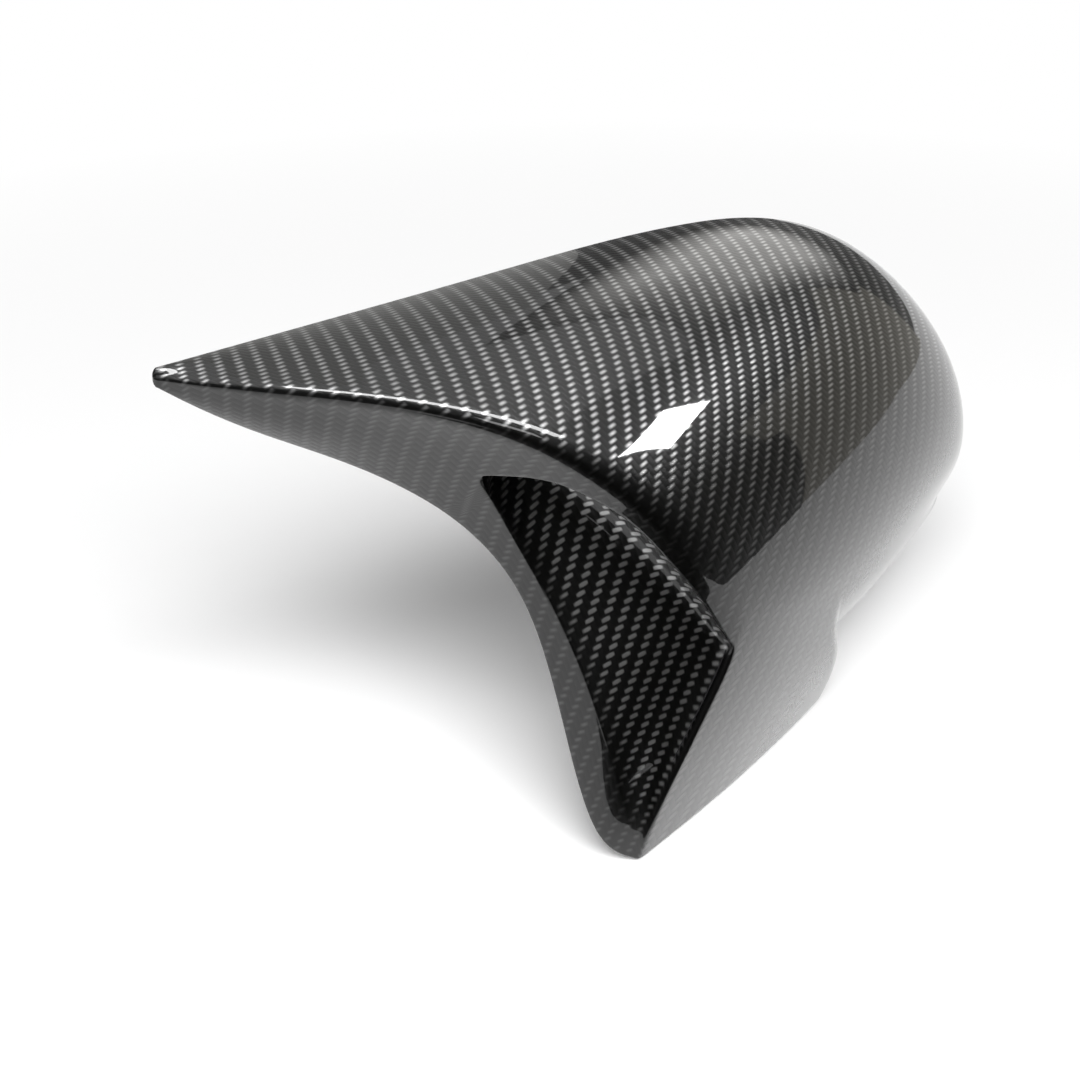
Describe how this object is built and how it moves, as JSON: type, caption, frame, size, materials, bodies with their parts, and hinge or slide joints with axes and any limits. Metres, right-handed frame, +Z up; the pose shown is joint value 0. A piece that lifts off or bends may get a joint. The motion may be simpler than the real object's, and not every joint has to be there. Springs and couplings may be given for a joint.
{
  "type": "wing mirror cover",
  "caption": "Horned cap shell for a left door mirror, in clear-coated twill carbon, open at the back, with a scooped recess between its horns",
  "frame": {"origin": "on the flat face of the rear rim, mid-wall, near the crown", "axes": "+X outboard along the rim, -Y forward in the car's driving direction, +Y square out of the open back, +Z up"},
  "size_m": [0.2495, 0.0892, 0.1342],
  "materials": {
    "coated_carbon": "black 2x2 twill carbon cloth under a smooth clear coat"
  },
  "bodies": {
    "root": {"mirror_cover": "coated_carbon"}
  },
  "joints": []
}
